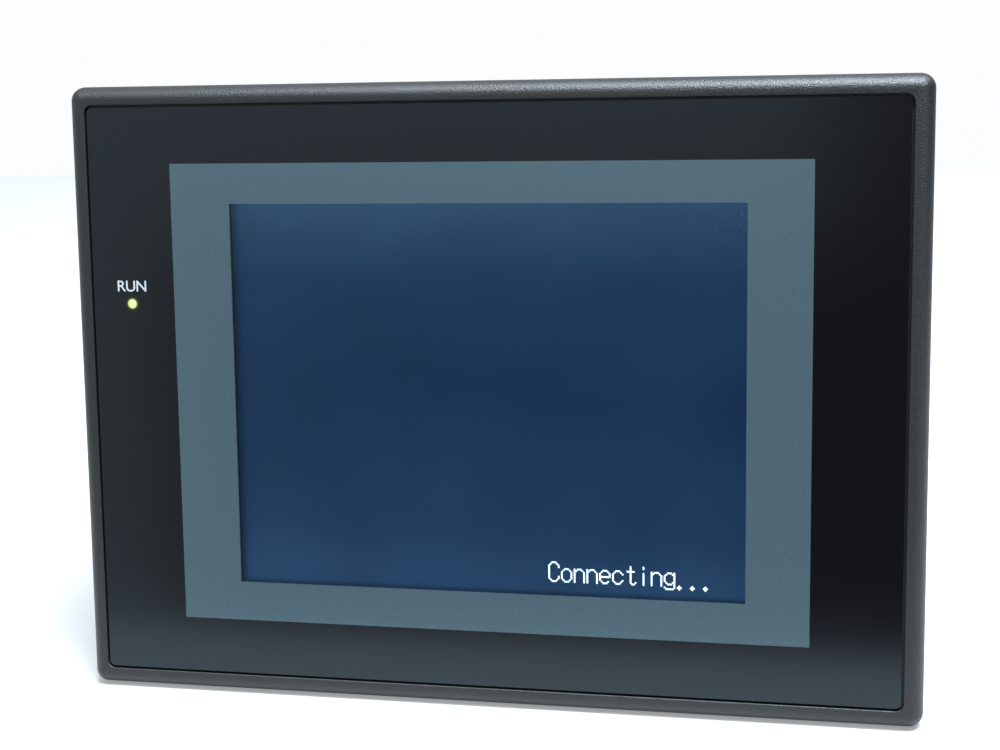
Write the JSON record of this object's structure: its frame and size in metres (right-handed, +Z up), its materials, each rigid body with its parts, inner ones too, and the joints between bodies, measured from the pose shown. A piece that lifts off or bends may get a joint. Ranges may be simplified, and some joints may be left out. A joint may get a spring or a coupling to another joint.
{
  "type": "hmi touch panel",
  "caption": "Panel-mount operator terminal: dark bezel with a film-covered touch screen and run lamp, body with gasket, rear connector bay, card slot and switches.",
  "frame": {"origin": "centre of the panel seat: the plane of the gasket's rear face, which bears on the front of the control panel", "axes": "-Y out of the screen, towards the operator; +Y rearwards, through the cut-out; +X to the operator's right; +Z up"},
  "size_m": [0.195, 0.054, 0.142],
  "materials": {
    "front_bezel": "fine-grained moulded plastic, dark grey",
    "overlay_film": "back-printed polyester film, black border, grey band, clear window",
    "touch_panel": "clear resistive touch panel",
    "touch_tail": "polyimide flat lead",
    "dust_seal": "closed-cell foam",
    "panel_gasket": "moulded rubber gasket",
    "run_light_pipe": "clear acrylic",
    "run_led": "lit green lamp",
    "lcd_bezel": "bright pressed steel",
    "lcd_cell": "blue-mode liquid crystal cell, lit",
    "light_guide": "clear acrylic",
    "reflector_sheet": "white sheet",
    "backlight_lamp": "cold cathode tube",
    "lcd_tray": "white plastic",
    "lcd_driver_board": "green circuit board",
    "lcd_cable": "flat cable",
    "lamp_lead": "insulated wire",
    "lcd_screws": "zinc-plated steel",
    "chassis_plate": "zinc-plated sheet steel",
    "chassis_screws": "zinc-plated steel",
    "inverter_board": "green circuit board",
    "inverter_transformer": "wound coil in a plastic bobbin",
    "main_board": "green circuit board",
    "cpu_chip": "moulded package",
    "memory_chips": "moulded package",
    "board_spacers": "brass stand-offs",
    "board_screws": "zinc-plated steel",
    "port_board": "green circuit board",
    "stack_connector": "black plastic",
    "power_module": "potted module",
    "capacitors": "sleeved aluminium cans",
    "port_shells": "tin-plated steel",
    "port_inserts": "black plastic with gilt contacts",
    "jack_posts": "nickel-plated steel",
    "usb_port": "nickel-plated steel shell",
    "ethernet_port": "nickel-plated steel shell",
    "terminal_block": "black moulded plastic",
    "terminal_screws": "zinc-plated steel",
    "terminal_clamps": "plated brass cages",
    "card_header": "black plastic with gilt pins",
    "eject_button": "moulded plastic",
    "eject_lever": "sheet steel",
    "ejector_plate": "sheet steel",
    "dip_body": "red moulded plastic",
    "dip_slider_1": "white moulded plastic",
    "dip_slider_2": "white moulded plastic",
    "dip_slider_3": "white moulded plastic",
    "dip_slider_4": "white moulded plastic",
    "dip_slider_5": "white moulded plastic",
    "dip_slider_6": "white moulded plastic",
    "reset_switch": "black plastic",
    "reset_button": "red moulded plastic",
    "battery": "sleeved lithium cell",
    "battery_lead": "insulated wire and plug",
    "battery_cover": "fine-grained moulded plastic, dark grey",
    "rear_case": "fine-grained moulded plastic, dark grey",
    "rear_label": "blank satin label",
    "expansion_connector": "black plastic",
    "expansion_cover": "fine-grained moulded plastic, dark grey",
    "case_screws": "zinc-plated steel"
  },
  "bodies": {
    "terminal": {"front_bezel": "front_bezel", "overlay_film": "overlay_film", "touch_panel": "touch_panel", "touch_tail": "touch_tail", "dust_seal": "dust_seal", "panel_gasket": "panel_gasket", "run_light_pipe": "run_light_pipe", "run_led": "run_led", "lcd_bezel": "lcd_bezel", "lcd_cell": "lcd_cell", "light_guide": "light_guide", "reflector_sheet": "reflector_sheet", "backlight_lamp": "backlight_lamp", "lcd_tray": "lcd_tray", "lcd_driver_board": "lcd_driver_board", "lcd_cable": "lcd_cable", "lamp_lead": "lamp_lead", "lcd_screws": "lcd_screws", "chassis_plate": "chassis_plate", "chassis_screws": "chassis_screws", "inverter_board": "inverter_board", "inverter_transformer": "inverter_transformer", "main_board": "main_board", "cpu_chip": "cpu_chip", "memory_chips": "memory_chips", "board_spacers": "board_spacers", "board_screws": "board_screws", "port_board": "port_board", "stack_connector": "stack_connector", "power_module": "power_module", "capacitors": "capacitors", "port_shells": "port_shells", "port_inserts": "port_inserts", "jack_posts": "jack_posts", "usb_port": "usb_port", "ethernet_port": "ethernet_port", "terminal_block": "terminal_block", "terminal_screws": "terminal_screws", "terminal_clamps": "terminal_clamps", "card_header": "card_header", "dip_body": "dip_body", "reset_switch": "reset_switch", "battery": "battery", "battery_lead": "battery_lead", "rear_case": "rear_case", "rear_label": "rear_label", "expansion_connector": "expansion_connector", "case_screws": "case_screws"},
    "eject_button": {"eject_button": "eject_button"},
    "eject_lever": {"eject_lever": "eject_lever"},
    "ejector_plate": {"ejector_plate": "ejector_plate"},
    "reset_button": {"reset_button": "reset_button"},
    "battery_cover": {"battery_cover": "battery_cover"},
    "expansion_cover": {"expansion_cover": "expansion_cover"},
    "dip_slider_1": {"dip_slider_1": "dip_slider_1"},
    "dip_slider_2": {"dip_slider_2": "dip_slider_2"},
    "dip_slider_3": {"dip_slider_3": "dip_slider_3"},
    "dip_slider_4": {"dip_slider_4": "dip_slider_4"},
    "dip_slider_5": {"dip_slider_5": "dip_slider_5"},
    "dip_slider_6": {"dip_slider_6": "dip_slider_6"}
  },
  "joints": [
    {"name": "battery_cover_hinge", "type": "hinge", "parent": "terminal", "child": "battery_cover", "pos_m": [-0.059, 0.0472, 0.02555], "axis": [-1, 0, 0], "range_deg": [0, 95]},
    {"name": "reset_press", "type": "slide", "parent": "terminal", "child": "reset_button", "axis": [1, 0, 0], "range_m": [0, 0.0005], "stiffness_N_per_m": 600},
    {"name": "eject_press", "type": "slide", "parent": "terminal", "child": "eject_button", "axis": [-1, 0, 0], "range_m": [0, 0.003]},
    {"name": "eject_lever_pivot", "type": "hinge", "parent": "terminal", "child": "eject_lever", "pos_m": [0.0575, 0.0309, 0.026], "axis": [0, -1, 0], "range_deg": [0, 17.5]},
    {"name": "ejector_slide", "type": "slide", "parent": "terminal", "child": "ejector_plate", "axis": [1, 0, 0], "range_m": [0, 0.0048]},
    {"name": "expansion_cover_pull", "type": "slide", "parent": "terminal", "child": "expansion_cover", "axis": [0, 1, 0], "range_m": [0, 0.01]},
    {"name": "dip_set_1", "type": "slide", "parent": "terminal", "child": "dip_slider_1", "axis": [0, 1, 0], "range_m": [0, 0.002]},
    {"name": "dip_set_2", "type": "slide", "parent": "terminal", "child": "dip_slider_2", "axis": [0, 1, 0], "range_m": [0, 0.002]},
    {"name": "dip_set_3", "type": "slide", "parent": "terminal", "child": "dip_slider_3", "axis": [0, 1, 0], "range_m": [0, 0.002]},
    {"name": "dip_set_4", "type": "slide", "parent": "terminal", "child": "dip_slider_4", "axis": [0, 1, 0], "range_m": [0, 0.002]},
    {"name": "dip_set_5", "type": "slide", "parent": "terminal", "child": "dip_slider_5", "axis": [0, 1, 0], "range_m": [0, 0.002]},
    {"name": "dip_set_6", "type": "slide", "parent": "terminal", "child": "dip_slider_6", "axis": [0, 1, 0], "range_m": [0, 0.002]}
  ],
  "couplings": [
    {"joint": "eject_lever_pivot", "follows": "eject_press", "rad_per_m": 101},
    {"joint": "ejector_slide", "follows": "eject_press", "ratio": 1.585}
  ]
}
